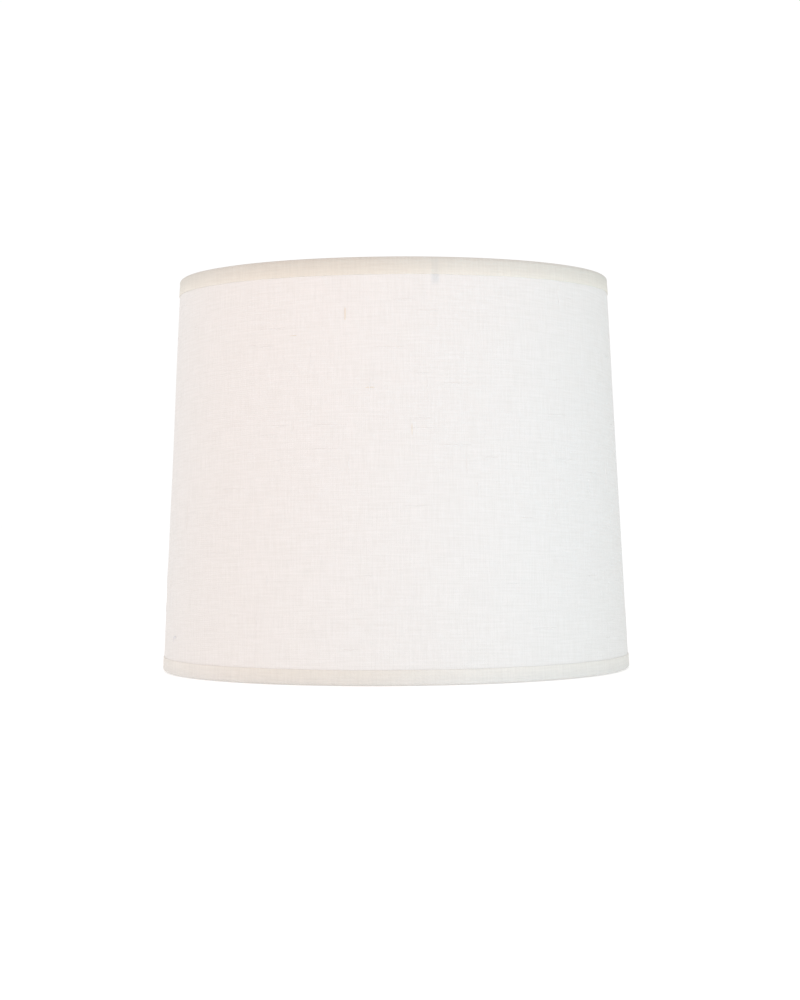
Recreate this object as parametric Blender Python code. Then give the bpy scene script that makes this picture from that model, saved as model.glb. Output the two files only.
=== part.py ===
"""Tapered drum lamp shade, linen on a rigid liner, with a recessed spider fitter.

Metres, +Z up. The origin is the middle of the circle that the shade stands on. An angle is counted
from the front (-Y) towards the right-hand side (+X), so the lap seam, at half a turn, is at the back.
"""

import math

import bmesh
import bpy
from mathutils import Vector

# ---------------------------------------------------------------- overall sizes
BOTTOM_DIAMETER = 0.3048  # across the linen at the bottom edge, 12 in
TOP_DIAMETER = 0.2794  # across the linen at the top edge, 11 in
HEIGHT = 0.2540  # over both trims, 10 in

# ---------------------------------------------------------------- sheets and strips
LINEN = 0.00045  # thickness of the linen cover
LINER = 0.00050  # thickness of the rigid styrene liner
TRIM = 0.00050  # thickness of the binding strip
TAPE = 0.00020  # thickness of the double-sided tape in the seam
GAP = 0.0003  # between any two pieces that touch
TOP_TRIM_OUTSIDE = 0.0106  # how far the top binding comes down over the linen
BOTTOM_TRIM_OUTSIDE = 0.0090  # how far the bottom one comes up over it
TRIM_INSIDE = 0.0050  # how far a binding's inner edge runs on past the wire
TRIM_EDGE_SLACK = 0.0003  # how much rounder than the panel's own corner the binding turns over it
TRIM_TUCK_BEND = 0.0007  # bend where it leaves the wire for the liner

# ---------------------------------------------------------------- lap seam
SEAM_ANGLE = 180.0
LAP = 0.0120  # how far the panel's ends overlap
TAPE_MARGIN = 0.0010  # from the tape to each end of the lap
RAMP = 0.0300  # length over which the outer end climbs onto the inner one
LAP_CLEARANCE = 0.0012  # level stretch on both sides of the lap
TRIM_STEP = 0.0060  # length over which the binding falls back past the outer end

# ---------------------------------------------------------------- wires and spider
RING_WIRE = 0.0030  # diameter of both rings
ARM_WIRE = 0.0030  # diameter of the spider's arms
ARM_COUNT = 3
FIRST_ARM_ANGLE = 11.0
ARM_DROP = 0.0159  # from the top ring's centre down to the arms' centre, 5/8 in
ARM_BEND = 0.0050  # centreline radius of the bend at the foot of the drop
ARM_HEAD = 0.0005  # how far an arm's upper end stands above the ring's centre
WASHER_DIAMETER = 0.0286
WASHER_HOLE = 0.0111  # 7/16 in, over a harp's stud
WASHER_THICKNESS = 0.0016
WASHER_CHAMFER = 0.0002
WASHER_OVERLAP = 0.0058  # how far each arm reaches in under the washer
SLIT_CLEARANCE = 0.0006  # between an arm and the slit cut for it in the binding

# ---------------------------------------------------------------- mesh fineness
AROUND_STEP = 6.0  # degrees between sections
SEAM_STEP = 1.5  # degrees between sections through the seam
EDGE_BEND_STEPS = 2
TUCK_BEND_STEPS = 1
WIRE_BEND_STEPS = 2
ARM_BEND_STEPS = 6
WIRE_SIDES_RESOLUTION = 2  # eight sides round a wire
WASHER_STEPS = 24
SHARP_ANGLE = 40.0  # an edge that turns by more degrees than this is shown sharp
SAME_POINT = 1e-6
SAME_ANGLE = 1e-6

# ---------------------------------------------------------------- worked-out places
TRIM_MIDDLE = GAP + TRIM / 2  # from a piece's face to the middle of the binding over it
PANEL_BOTTOM = GAP + TRIM
PANEL_TOP = HEIGHT - PANEL_BOTTOM
LAP_RISE = GAP + TAPE + GAP + LINER + GAP + LINEN  # one panel's step onto the other
RING_RADIUS = RING_WIRE / 2
ARM_RADIUS = ARM_WIRE / 2
TOP_RING_Z = PANEL_TOP - RING_RADIUS
BOTTOM_RING_Z = PANEL_BOTTOM + RING_RADIUS
ARM_Z = TOP_RING_Z - ARM_DROP
WASHER_Z = ARM_Z + ARM_RADIUS + GAP


def linen_radius(z):
    """Outer radius of the linen at a height, away from the seam."""
    share = z / HEIGHT
    return (BOTTOM_DIAMETER * (1 - share) + TOP_DIAMETER * share) / 2


def liner_radius(z):
    """Outer radius of the liner."""
    return linen_radius(z) - LINEN - GAP


def ring_radius(z):
    """Radius of a wire ring's centreline: the wire lies against the liner's inner face."""
    return liner_radius(z) - LINER - GAP - RING_RADIUS


def degrees_along(length):
    """The angle that a length takes up round the middle of the panel."""
    return math.degrees(length / linen_radius(HEIGHT / 2))


LAP_START = SEAM_ANGLE - degrees_along(LAP) / 2
LAP_END = SEAM_ANGLE + degrees_along(LAP) / 2
CLIMB_END = LAP_START - degrees_along(LAP_CLEARANCE)
CLIMB_START = CLIMB_END - degrees_along(RAMP)
FALL_START = LAP_END + degrees_along(LAP_CLEARANCE)
FALL_END = FALL_START + degrees_along(TRIM_STEP)


def smooth_step(share):
    share = min(max(share, 0.0), 1.0)
    return share * share * (3 - 2 * share)


def climb(angle):
    """How far the panel's outer end has risen by an angle just before or in the lap."""
    return LAP_RISE * smooth_step((angle - CLIMB_START) / (CLIMB_END - CLIMB_START))


def cover_rise(angle):
    """How far the outermost linen stands out at any angle, which the binding has to clear."""
    angle %= 360
    fall = smooth_step((angle - FALL_START) / (FALL_END - FALL_START))
    return climb(angle) * (1 - fall)


def angles_between(start, end, step):
    """Evenly spaced angles from start to end, at most a step apart."""
    count = max(1, math.ceil((end - start) / step - SAME_ANGLE))
    return [start + (end - start) * i / count for i in range(count + 1)]


def joined(*stretches):
    """Several lists of angles, end to end, with the shared ends once."""
    angles = list(stretches[0])
    for stretch in stretches[1:]:
        angles += stretch[1:]
    return angles


def panel_angles():
    """Once round from the covered inner end to the outer end that lies over it."""
    return joined(
        angles_between(LAP_START, LAP_END, SEAM_STEP),
        angles_between(LAP_END, FALL_START, SEAM_STEP),
        angles_between(FALL_START, FALL_END, SEAM_STEP),
        angles_between(FALL_END, CLIMB_START + 360, AROUND_STEP),
        angles_between(CLIMB_START + 360, CLIMB_END + 360, 2 * SEAM_STEP),
        angles_between(CLIMB_END + 360, LAP_START + 360, SEAM_STEP),
        angles_between(LAP_START + 360, LAP_END + 360, SEAM_STEP),
    )


def whole_turn_angles():
    """The same sections as the panel's, once round and without the overlap."""
    return [angle for angle in panel_angles() if angle < LAP_START + 360 - SAME_ANGLE]


def place(radius, angle, z):
    """The point at a radius, an angle in degrees and a height."""
    turn = math.radians(angle)
    return Vector((radius * math.sin(turn), -radius * math.cos(turn), z))


# ---------------------------------------------------------------- materials
def material(name, colour, roughness, metallic=0.0):
    made = bpy.data.materials.new(name)
    made.use_nodes = True
    shader = made.node_tree.nodes["Principled BSDF"]
    shader.inputs["Base Color"].default_value = (*colour, 1.0)
    shader.inputs["Roughness"].default_value = roughness
    shader.inputs["Metallic"].default_value = metallic
    return made


def clear_scene():
    for obj in list(bpy.data.objects):
        bpy.data.objects.remove(obj)


def add_object(name, data, finish):
    obj = bpy.data.objects.new(name, data)
    bpy.context.scene.collection.objects.link(obj)
    if finish is not None:
        data.materials.append(finish)
    return obj


# ---------------------------------------------------------------- building blocks
def swept_surface(name, sections, closed):
    """A surface through rows of points. Each row runs up the outside, so the faces point outwards."""
    mesh = bpy.data.meshes.new(name)
    shape = bmesh.new()
    rows = [[shape.verts.new(point) for point in section] for section in sections]
    pairs = list(zip(rows, rows[1:]))
    if closed:
        pairs.append((rows[-1], rows[0]))
    for row, following in pairs:
        for k in range(len(row) - 1):
            shape.faces.new((row[k], following[k], following[k + 1], row[k + 1]))
    shape.to_mesh(mesh)
    shape.free()
    mesh.shade_smooth()
    mesh.set_sharp_from_angle(angle=math.radians(SHARP_ANGLE))
    return mesh


def thicken(obj, thickness, offset):
    """Gives a surface its wall. offset is -1 for a wall inside it and 0 for one about it."""
    wall = obj.modifiers.new("wall", "SOLIDIFY")
    wall.thickness = thickness
    wall.offset = offset
    wall.use_even_offset = True
    wall.use_rim = True


def rounded(corners, bends):
    """A line through corners, each turned into an arc of that radius in that many steps."""
    path = [corners[0]]
    for i, (radius, steps) in enumerate(bends, start=1):
        corner = corners[i]
        to_last = (corners[i - 1] - corner).normalized()
        to_next = (corners[i + 1] - corner).normalized()
        half = to_last.angle(to_next) / 2
        centre = corner + (to_last + to_next).normalized() * radius / math.sin(half)
        start = corner + to_last * radius / math.tan(half) - centre
        end = corner + to_next * radius / math.tan(half) - centre
        turn = start.angle_signed(end)
        for step in range(steps + 1):
            share = turn * step / steps
            # angle_signed counts clockwise in 2D, so the arc turns by the negative angle
            c, s = math.cos(-share), math.sin(-share)
            point = centre + Vector((start.x * c - start.y * s, start.x * s + start.y * c))
            # two bends that meet share a point
            if (point - path[-1]).length > SAME_POINT:
                path.append(point)
    path.append(corners[-1])
    return path


def wire(name, points, diameter, finish, cyclic=False):
    """Round wire along a line of points."""
    curve = bpy.data.curves.new(name, "CURVE")
    curve.dimensions = "3D"
    curve.bevel_depth = diameter / 2
    curve.bevel_resolution = WIRE_SIDES_RESOLUTION
    curve.use_fill_caps = not cyclic
    line = curve.splines.new("POLY")
    line.points.add(len(points) - 1)
    for target, point in zip(line.points, points):
        target.co = (*point, 1.0)
    line.use_cyclic_u = cyclic
    line.use_smooth = True
    return add_object(name, curve, finish)


# ---------------------------------------------------------------- panel
def panel_sheet(name, radius_at, thickness, finish):
    """One layer of the panel: a tapered sheet whose last stretch climbs over its own start."""
    # the far end climbs a whole turn on from the start, so nothing before it rises
    sections = [
        [place(radius_at(z) + climb(angle - 360), angle, z) for z in (PANEL_BOTTOM, PANEL_TOP)]
        for angle in panel_angles()
    ]
    sheet = add_object(name, swept_surface(name, sections, closed=False), finish)
    thicken(sheet, thickness, offset=-1)
    return sheet


def seam_tape(finish):
    """The strip that bonds the outer end of the panel to the inner one, between the two."""
    margin = degrees_along(TAPE_MARGIN)
    low, high = PANEL_BOTTOM + TAPE_MARGIN, PANEL_TOP - TAPE_MARGIN
    sections = [
        [place(linen_radius(z) + GAP + TAPE, angle, z) for z in (low, high)]
        for angle in angles_between(LAP_START + margin, LAP_END - margin, SEAM_STEP)
    ]
    tape = add_object("seam_tape", swept_surface("seam_tape", sections, closed=False), finish)
    thicken(tape, TAPE, offset=-1)
    return tape


# ---------------------------------------------------------------- bindings
def trim_section(angle, edge_z, ring_z, inward, outside):
    """The middle line of a binding at an angle, from its outer edge over the panel's edge and the
    wire to its inner edge. inward is the way towards the shade's middle: -1 at the top, 1 below."""
    rise = cover_rise(angle)
    around_wire = RING_RADIUS + TRIM_MIDDLE
    outer_end_z = edge_z + inward * (outside - PANEL_BOTTOM)
    turn_z = edge_z - inward * TRIM_MIDDLE
    wire_inside = ring_radius(ring_z) - around_wire
    tuck_z = ring_z + inward * around_wire
    inner_end_z = tuck_z + inward * TRIM_INSIDE
    against_liner = TRIM_MIDDLE + LINER
    corners = [
        (linen_radius(outer_end_z) + TRIM_MIDDLE + rise, outer_end_z),
        (linen_radius(turn_z) + TRIM_MIDDLE + rise, turn_z),
        (wire_inside, turn_z),
        (wire_inside, tuck_z),
        (liner_radius(tuck_z) - against_liner, tuck_z),
        (liner_radius(inner_end_z) - against_liner, inner_end_z),
    ]
    bends = [
        (TRIM_MIDDLE + TRIM_EDGE_SLACK, EDGE_BEND_STEPS),
        (around_wire, WIRE_BEND_STEPS),
        (around_wire, WIRE_BEND_STEPS),
        (TRIM_TUCK_BEND, TUCK_BEND_STEPS),
    ]
    line = rounded([Vector(corner) for corner in corners], bends)
    return [place(point.x, angle, point.y) for point in line]


def binding(name, edge_z, ring_z, inward, outside, finish):
    """A strip folded over the panel's edge at edge_z and round the ring beside it."""
    sections = [
        trim_section(angle, edge_z, ring_z, inward, outside) for angle in whole_turn_angles()
    ]
    # a section starts at the outer edge, so at the bottom it first runs down
    if inward > 0:
        sections = [section[::-1] for section in sections]
    strip = add_object(name, swept_surface(name, sections, closed=True), finish)
    thicken(strip, TRIM, offset=0)
    return strip


def cut_arm_slits(strip):
    """The binding is snipped from its inner edge up to each arm, so that it can pass the wire."""
    foot = arm_foot_radius()
    width = ARM_WIRE + 2 * SLIT_CLEARANCE
    top = TOP_RING_Z + ARM_HEAD + SLIT_CLEARANCE
    bottom = TOP_RING_Z - RING_RADIUS - TRIM - TRIM_INSIDE - 2 * SLIT_CLEARANCE - GAP
    outer = ring_radius(TOP_RING_Z) + RING_RADIUS - GAP
    inner = foot - ARM_WIRE
    for number, angle in enumerate(arm_angles(), start=1):
        mesh = bpy.data.meshes.new(f"slit_{number}")
        shape = bmesh.new()
        bmesh.ops.create_cube(shape, size=1.0)
        for vertex in shape.verts:
            x, y, z = vertex.co + Vector((0.5, 0.0, 0.5))
            vertex.co = (inner + (outer - inner) * x, width * y, bottom + (top - bottom) * z)
        shape.to_mesh(mesh)
        shape.free()
        cutter = add_object(f"slit_{number}", mesh, None)
        cutter.rotation_euler.z = math.radians(angle - 90)
        cutter.hide_render = True
        cutter.display_type = "WIRE"
        cut = strip.modifiers.new(f"slit_{number}", "BOOLEAN")
        cut.object = cutter
        cut.operation = "DIFFERENCE"


# ---------------------------------------------------------------- spider fitter
def arm_angles():
    return [FIRST_ARM_ANGLE + 360 * i / ARM_COUNT for i in range(ARM_COUNT)]


def arm_foot_radius():
    """Radius of the upright part of an arm, which lies against the inside of the top ring."""
    return ring_radius(TOP_RING_Z) - RING_RADIUS - GAP - ARM_RADIUS


def ring(name, z, finish):
    points = [place(ring_radius(z), angle, z) for angle in whole_turn_angles()]
    return wire(name, points, RING_WIRE, finish, cyclic=True)


def spider_arm(number, angle, finish):
    """Wire that drops from the ring, bends, and runs level to the washer."""
    foot = arm_foot_radius()
    corners = [
        Vector((foot, TOP_RING_Z + ARM_HEAD)),
        Vector((foot, ARM_Z)),
        Vector((WASHER_DIAMETER / 2 - WASHER_OVERLAP, ARM_Z)),
    ]
    line = rounded(corners, [(ARM_BEND, ARM_BEND_STEPS)])
    points = [place(point.x, angle, point.y) for point in line]
    return wire(f"spider_arm_{number}", points, ARM_WIRE, finish)


def spider_washer(finish):
    """Turned disc with a hole. The arms' ends are welded to its underside."""
    hole, rim = WASHER_HOLE / 2, WASHER_DIAMETER / 2
    top, c = WASHER_Z + WASHER_THICKNESS, WASHER_CHAMFER
    profile = [
        (hole + c, WASHER_Z), (rim - c, WASHER_Z), (rim, WASHER_Z + c), (rim, top - c),
        (rim - c, top), (hole + c, top), (hole, top - c), (hole, WASHER_Z + c),
    ]
    mesh = bpy.data.meshes.new("spider_washer")
    shape = bmesh.new()
    corners = [shape.verts.new((x, 0.0, z)) for x, z in profile]
    edges = [shape.edges.new((a, b)) for a, b in zip(corners, corners[1:] + corners[:1])]
    bmesh.ops.spin(
        shape, geom=edges, cent=(0, 0, 0), axis=(0, 0, 1), angle=math.tau, steps=WASHER_STEPS,
        use_merge=True,
    )
    bmesh.ops.remove_doubles(shape, verts=shape.verts[:], dist=SAME_POINT)
    bmesh.ops.recalc_face_normals(shape, faces=shape.faces[:])
    shape.to_mesh(mesh)
    shape.free()
    mesh.shade_smooth()
    mesh.set_sharp_from_angle(angle=math.radians(SHARP_ANGLE))
    return add_object("spider_washer", mesh, finish)


def build():
    clear_scene()
    linen = material("linen", (0.86, 0.83, 0.79), 0.85)
    styrene = material("styrene", (0.84, 0.84, 0.82), 0.45)
    adhesive = material("adhesive", (0.80, 0.78, 0.72), 0.35)
    cream = material("cream_binding", (0.80, 0.74, 0.62), 0.80)
    brass = material("brass_plated_steel", (0.72, 0.55, 0.28), 0.30, metallic=1.0)

    panel_sheet("linen_cover", linen_radius, LINEN, linen)
    panel_sheet("styrene_liner", liner_radius, LINER, styrene)
    seam_tape(adhesive)
    cut_arm_slits(binding("top_trim", PANEL_TOP, TOP_RING_Z, -1, TOP_TRIM_OUTSIDE, cream))
    binding("bottom_trim", PANEL_BOTTOM, BOTTOM_RING_Z, 1, BOTTOM_TRIM_OUTSIDE, cream)
    ring("top_ring", TOP_RING_Z, brass)
    ring("bottom_ring", BOTTOM_RING_Z, brass)
    for number, angle in enumerate(arm_angles(), start=1):
        spider_arm(number, angle, brass)
    spider_washer(brass)


build()
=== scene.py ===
# %% [markdown]
# # A tapered drum lamp shade in linen
#
# The frame is a plain CAD model of the shade: every piece has its right size and place, and none has
# its looks. This lesson makes the pieces again in cloth, plastic and wire around that frame. It works
# as a shade maker does: measure the frame, laminate and wrap the panel, bind both edges, then fit the
# spider. Materials come with the first piece that needs them, and the studio comes last.

# %% Load the frame
import math
import random

import bmesh
import bpy
from mathutils import Matrix, Vector, noise


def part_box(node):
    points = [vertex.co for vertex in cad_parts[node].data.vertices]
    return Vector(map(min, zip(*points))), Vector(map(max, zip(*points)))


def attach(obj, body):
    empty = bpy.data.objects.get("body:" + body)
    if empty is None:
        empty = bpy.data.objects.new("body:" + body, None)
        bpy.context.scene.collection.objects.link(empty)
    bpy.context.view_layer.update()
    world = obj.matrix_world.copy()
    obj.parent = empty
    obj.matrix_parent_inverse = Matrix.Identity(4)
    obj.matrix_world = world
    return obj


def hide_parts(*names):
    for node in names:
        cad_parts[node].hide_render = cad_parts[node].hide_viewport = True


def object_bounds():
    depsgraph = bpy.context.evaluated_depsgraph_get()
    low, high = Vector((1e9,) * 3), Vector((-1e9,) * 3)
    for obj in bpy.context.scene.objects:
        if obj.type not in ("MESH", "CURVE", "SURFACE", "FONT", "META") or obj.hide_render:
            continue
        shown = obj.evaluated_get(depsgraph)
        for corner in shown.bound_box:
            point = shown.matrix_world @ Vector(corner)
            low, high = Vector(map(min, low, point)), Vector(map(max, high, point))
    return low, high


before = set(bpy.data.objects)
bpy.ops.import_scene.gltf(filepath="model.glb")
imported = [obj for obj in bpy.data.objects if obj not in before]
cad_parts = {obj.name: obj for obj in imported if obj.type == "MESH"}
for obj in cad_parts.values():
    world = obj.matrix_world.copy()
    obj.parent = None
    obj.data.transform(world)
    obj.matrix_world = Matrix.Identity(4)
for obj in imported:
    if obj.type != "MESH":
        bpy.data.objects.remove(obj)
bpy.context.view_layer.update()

MM = 0.001
print("frame:", ", ".join(sorted(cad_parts)))

# %% [markdown]
# ## Small helpers
#
# Blender's operators act on whatever is selected, and the frame arrives selected. So every step first
# selects exactly what it means to change. These few functions keep that in one place.


# %% Select and name
SHARP_ANGLE = 40.0  # degrees that an edge turns by before it is shown sharp
SAME_PLACE = 0.001 * MM


def only(piece):
    """Makes one piece the active and the only selected object."""
    if bpy.context.mode != "OBJECT":
        bpy.ops.object.mode_set(mode="OBJECT")
    bpy.ops.object.select_all(action="DESELECT")
    piece.select_set(True)
    bpy.context.view_layer.objects.active = piece
    return piece


def named(name):
    """The primitive that was just added, under its name and with its place moved into its mesh."""
    piece = only(bpy.context.object)
    piece.name = piece.data.name = name
    bpy.ops.object.transform_apply(location=True, rotation=True, scale=True)
    return piece


def edit_faces(piece, wanted):
    """Opens a piece in edit mode with only the faces selected that are wanted."""
    only(piece)
    bpy.ops.object.mode_set(mode="EDIT")
    bpy.ops.mesh.select_mode(type="FACE")
    bpy.ops.mesh.select_all(action="DESELECT")
    shape = bmesh.from_edit_mesh(piece.data)
    for face in shape.faces:
        face.select_set(wanted(face.calc_center_median(), face.normal))
    bmesh.update_edit_mesh(piece.data)


def close_edit(piece):
    """Leaves edit mode with the piece's faces all turned outwards."""
    bpy.ops.mesh.select_all(action="SELECT")
    bpy.ops.mesh.remove_doubles(threshold=SAME_PLACE)
    bpy.ops.mesh.normals_make_consistent(inside=False)
    bpy.ops.object.mode_set(mode="OBJECT")
    return piece


def finish_with(piece, kind, **settings):
    """Adds a modifier with its settings and applies it."""
    only(piece)
    modifier = piece.modifiers.new(kind.lower(), kind)
    for setting, value in settings.items():
        setattr(modifier, setting, value)
    bpy.ops.object.modifier_apply(modifier=modifier.name)
    return piece


def smooth(piece, degrees=SHARP_ANGLE):
    """Shades a piece smooth, with its edges sharp where they turn by more than an angle."""
    only(piece)
    bpy.ops.object.shade_smooth_by_angle(angle=math.radians(degrees))
    return piece


def joined(pieces, name):
    """Several pieces as one."""
    only(pieces[0])
    for piece in pieces:
        piece.select_set(True)
    bpy.ops.object.join()
    pieces[0].name = pieces[0].data.name = name
    return pieces[0]


def report(piece, what):
    """Says what was made."""
    print(f"{piece.name}: {what}, {len(piece.data.polygons)} faces")


print(f"edges sharper than {SHARP_ANGLE:.0f} degrees are shown sharp")

# %% [markdown]
# ## Colours and nodes
#
# Colours are written as the hex values that a paint chart gives, and turned to the linear values that
# Blender computes with. One function adds any node: it sets the node's properties, then fills or
# links its inputs. A tuple of a node and an output's name or number is a link, and anything else is
# a plain value.


# %% Colour and node helpers
def colour(hex_code):
    """Linear RGBA from an sRGB hex colour."""
    channels = [int(hex_code[i : i + 2], 16) / 255 for i in (1, 3, 5)]
    linear = [c / 12.92 if c <= 0.04045 else ((c + 0.055) / 1.055) ** 2.4 for c in channels]
    return (*linear, 1.0)


def add_node(tree, kind, inputs=None, stops=(), **properties):
    """A node with its properties set and its inputs, by name or number, filled or linked.

    Stops are the (place, hex colour) pairs of a colour ramp."""
    node = tree.nodes.new(kind)
    for name, value in properties.items():
        setattr(node, name, value)
    for i, (place, hex_code) in enumerate(stops):
        node.color_ramp.elements[i].position = place
        node.color_ramp.elements[i].color = colour(hex_code)
    for key, value in (inputs or {}).items():
        if isinstance(value, tuple) and isinstance(value[0], bpy.types.Node):
            tree.links.new(value[0].outputs[value[1]], node.inputs[key])
        else:
            node.inputs[key].default_value = value
    return node


def new_material(name):
    """A material and its node tree, still without nodes."""
    made = bpy.data.materials.new(name)
    made.use_nodes = True
    made.node_tree.nodes.clear()
    return made, made.node_tree


def dress(piece, finish):
    """Gives a piece one material all over and puts it under the root body."""
    piece.data.materials.clear()
    piece.data.materials.append(finish)
    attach(piece, "root")
    return piece


print("mid grey #808080 is", round(colour("#808080")[0], 3), "in linear light")

# %% [markdown]
# ## Measure the frame
#
# A tapered shade is a slice of a cone, so two radii and two heights describe its wall. They are read
# from the linen's CAD solid. An azimuth is counted in degrees from the front (-Y) towards the right
# (+X), and the panel's lap seam is at the back, at 180 degrees.


# %% The cone
SAME_LEVEL = 0.1 * MM


def edge_radius(node, at_top):
    """Radius of a node's top or bottom edge on the front half, away from the seam."""
    corners = [v.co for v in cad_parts[node].data.vertices if v.co.y < 0]
    edge = max(c.z for c in corners) if at_top else min(c.z for c in corners)
    return max(math.hypot(c.x, c.y) for c in corners if abs(c.z - edge) < SAME_LEVEL)


PANEL_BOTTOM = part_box("linen_cover")[0].z
PANEL_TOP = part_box("linen_cover")[1].z
PANEL_HEIGHT = PANEL_TOP - PANEL_BOTTOM
BOTTOM_RADIUS = edge_radius("linen_cover", at_top=False)
TOP_RADIUS = edge_radius("linen_cover", at_top=True)
TAPER = (BOTTOM_RADIUS - TOP_RADIUS) / PANEL_HEIGHT
SLOPE = math.atan(TAPER)
MIDDLE_RADIUS = (BOTTOM_RADIUS + TOP_RADIUS) / 2
wide, narrow = 2 * BOTTOM_RADIUS / MM, 2 * TOP_RADIUS / MM
print(f"cone: {wide:.1f} mm across at the bottom, {narrow:.1f} mm at the top")


def cone(z):
    """Radius of the linen's outer face at a height."""
    return BOTTOM_RADIUS - TAPER * (z - PANEL_BOTTOM)


def at(radius, azimuth, z):
    """The point at a radius, an azimuth in degrees and a height."""
    turn = math.radians(azimuth)
    return Vector((radius * math.sin(turn), -radius * math.cos(turn), z))


def degrees_along(length):
    """The azimuth that a length takes up round the middle of the panel."""
    return math.degrees(length / MIDDLE_RADIUS)


# %% [markdown]
# ## The panel's layers and its seam
#
# The panel is linen on a sheet of styrene. Its ends lap at the back: the outer end climbs gently onto
# the inner one, which a maker sees as a slight flat beside the seam. The thicknesses and the lap are
# those of the frame, and so is the small gap that it keeps between pieces.

# %% Layers and lap
LINEN = 0.45 * MM
LINER = 0.50 * MM
TAPE = 0.20 * MM
GAP = 0.30 * MM  # between two pieces that touch
SEAM = 180.0  # azimuth of the lap's middle
LAP = 12.0 * MM
RAMP = 30.0 * MM  # length over which the outer end climbs
LAP_CLEARANCE = 1.2 * MM  # level stretch on both sides of the lap
TRIM_FALL = 6.0 * MM  # length over which a binding falls back past the outer end
LAP_RISE = 3 * GAP + TAPE + LINER + LINEN

LAP_START = SEAM - degrees_along(LAP) / 2
LAP_END = SEAM + degrees_along(LAP) / 2
CLIMB_END = LAP_START - degrees_along(LAP_CLEARANCE)
CLIMB_START = CLIMB_END - degrees_along(RAMP)
FALL_START = LAP_END + degrees_along(LAP_CLEARANCE)
FALL_END = FALL_START + degrees_along(TRIM_FALL)
print(f"lap: azimuth {LAP_START:.1f} to {LAP_END:.1f}, standing out by {LAP_RISE / MM:.2f} mm")


def ease(share):
    """0 to 1 along an S, and level outside."""
    share = min(max(share, 0.0), 1.0)
    return share * share * (3 - 2 * share)


def climb(azimuth):
    """How far the panel's outer end has risen."""
    return LAP_RISE * ease((azimuth - CLIMB_START) / (CLIMB_END - CLIMB_START))


def cover_rise(azimuth):
    """How far the outermost linen stands out at any azimuth, which a binding has to clear."""
    azimuth %= 360
    return climb(azimuth) * (1 - ease((azimuth - FALL_START) / (FALL_END - FALL_START)))


# %% [markdown]
# Nothing laminated by hand is a perfect cone. The wires hold both edges round, and between them the
# wall wanders by a few tenths of a millimetre. Both layers share this sway, so they stay together,
# and it dies away at the seam, which is stiff.

# %% Sway of the wall
SWAY = 0.5 * MM  # most that the wall wanders
SWAY_SIZE = 90 * MM  # from one bulge to the next
SEAM_STILL = 14.0  # degrees from the seam where the sway starts
SEAM_CALM = 45.0  # and where it is whole


def sway(azimuth, z):
    """How far the wall stands off the true cone."""
    height_share = (z - PANEL_BOTTOM) / PANEL_HEIGHT
    from_seam = abs((azimuth % 360) - SEAM)
    calm = ease((from_seam - SEAM_STILL) / (SEAM_CALM - SEAM_STILL))
    wander = noise.noise(at(MIDDLE_RADIUS, azimuth, z) / SWAY_SIZE)
    return SWAY * wander * math.sin(math.pi * min(max(height_share, 0), 1)) * calm


def wall(azimuth, z, out, rise=0.0):
    """The point that stands out from the linen's outer face by a distance."""
    return at(cone(z) + out + rise + sway(azimuth, z), azimuth, z)


print(f"sway at mid height, at the front: {sway(0, PANEL_BOTTOM + PANEL_HEIGHT / 2) / MM:.2f} mm")


# %% [markdown]
# ## Cloth that is cut flat
#
# Real cloth starts flat, and its weave runs straight there. So each cloth piece is a flat grid first.
# Its points then move to their places on the shade, and each keeps its flat place, in metres, as its
# UV. A weave drawn on those UVs runs as the threads do: straight in the cut, and leaning a little
# towards the back of a tapered shade.


# %% Cut and lay a cloth
def spaced(start, end, step):
    """Even places from start to end, at most a step apart."""
    count = max(1, math.ceil((end - start) / step - 1e-6))
    return [start + (end - start) * i / count for i in range(count + 1)]


def cut_and_lay(name, along, across, shape, flat):
    """A grid of cloth with a column at each place along and a row at each place across."""
    columns, rows = len(along) - 1, len(across) - 1
    bpy.ops.mesh.primitive_grid_add(x_subdivisions=columns, y_subdivisions=rows, size=1)
    cloth = named(name)
    flat_places = []
    for vertex in cloth.data.vertices:
        i = round((vertex.co.x + 0.5) * columns)
        j = round((vertex.co.y + 0.5) * rows)
        flat_places.append(flat(along[i], across[j]))
        vertex.co = shape(along[i], across[j])
    uv = cloth.data.uv_layers.active
    uv.name = "flat_cut"
    for loop in cloth.data.loops:
        uv.data[loop.index].uv = flat_places[loop.vertex_index]
    return cloth


def past_fold(length, radius):
    """Where cloth is, a length past the start of a fold back: (forward, inward)."""
    if length <= 0:
        return length, 0.0
    turn = min(length / radius, math.pi)
    back = max(length - math.pi * radius, 0.0)
    return radius * math.sin(turn) - back, radius * (1 - math.cos(turn))


print(f"a fold of 1 mm radius takes up {math.pi:.2f} mm of cloth")


# %% [markdown]
# ## Linen
#
# Lampshade linen is a plain weave of flax: each thread goes over one and under the next, and the
# yarn is thick in one place and thin in the next. The eye sees a soft cross-hatch of streaks, with a
# thicker slub here and there. The real threads are half a millimetre apart, too fine to show from
# where the shade is seen whole, so they are drawn 1.2 mm apart.
#
# Two rounded wave patterns make the threads, a checker picks which one is on top, and noise that is
# stretched along each thread makes the yarn uneven. All of it is in millimetres of flat cloth.


# %% Threads and yarn
THREAD_WANDER = 1.6  # how far a thread drifts, as a share of the spacing
WANDER_SCALE = 0.07  # per millimetre
WARP_YARN = (0.85, 0.06, 1)  # how fast the yarn changes, per millimetre across and along a thread
WEFT_YARN = (0.05, 0.85, 1)


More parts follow.
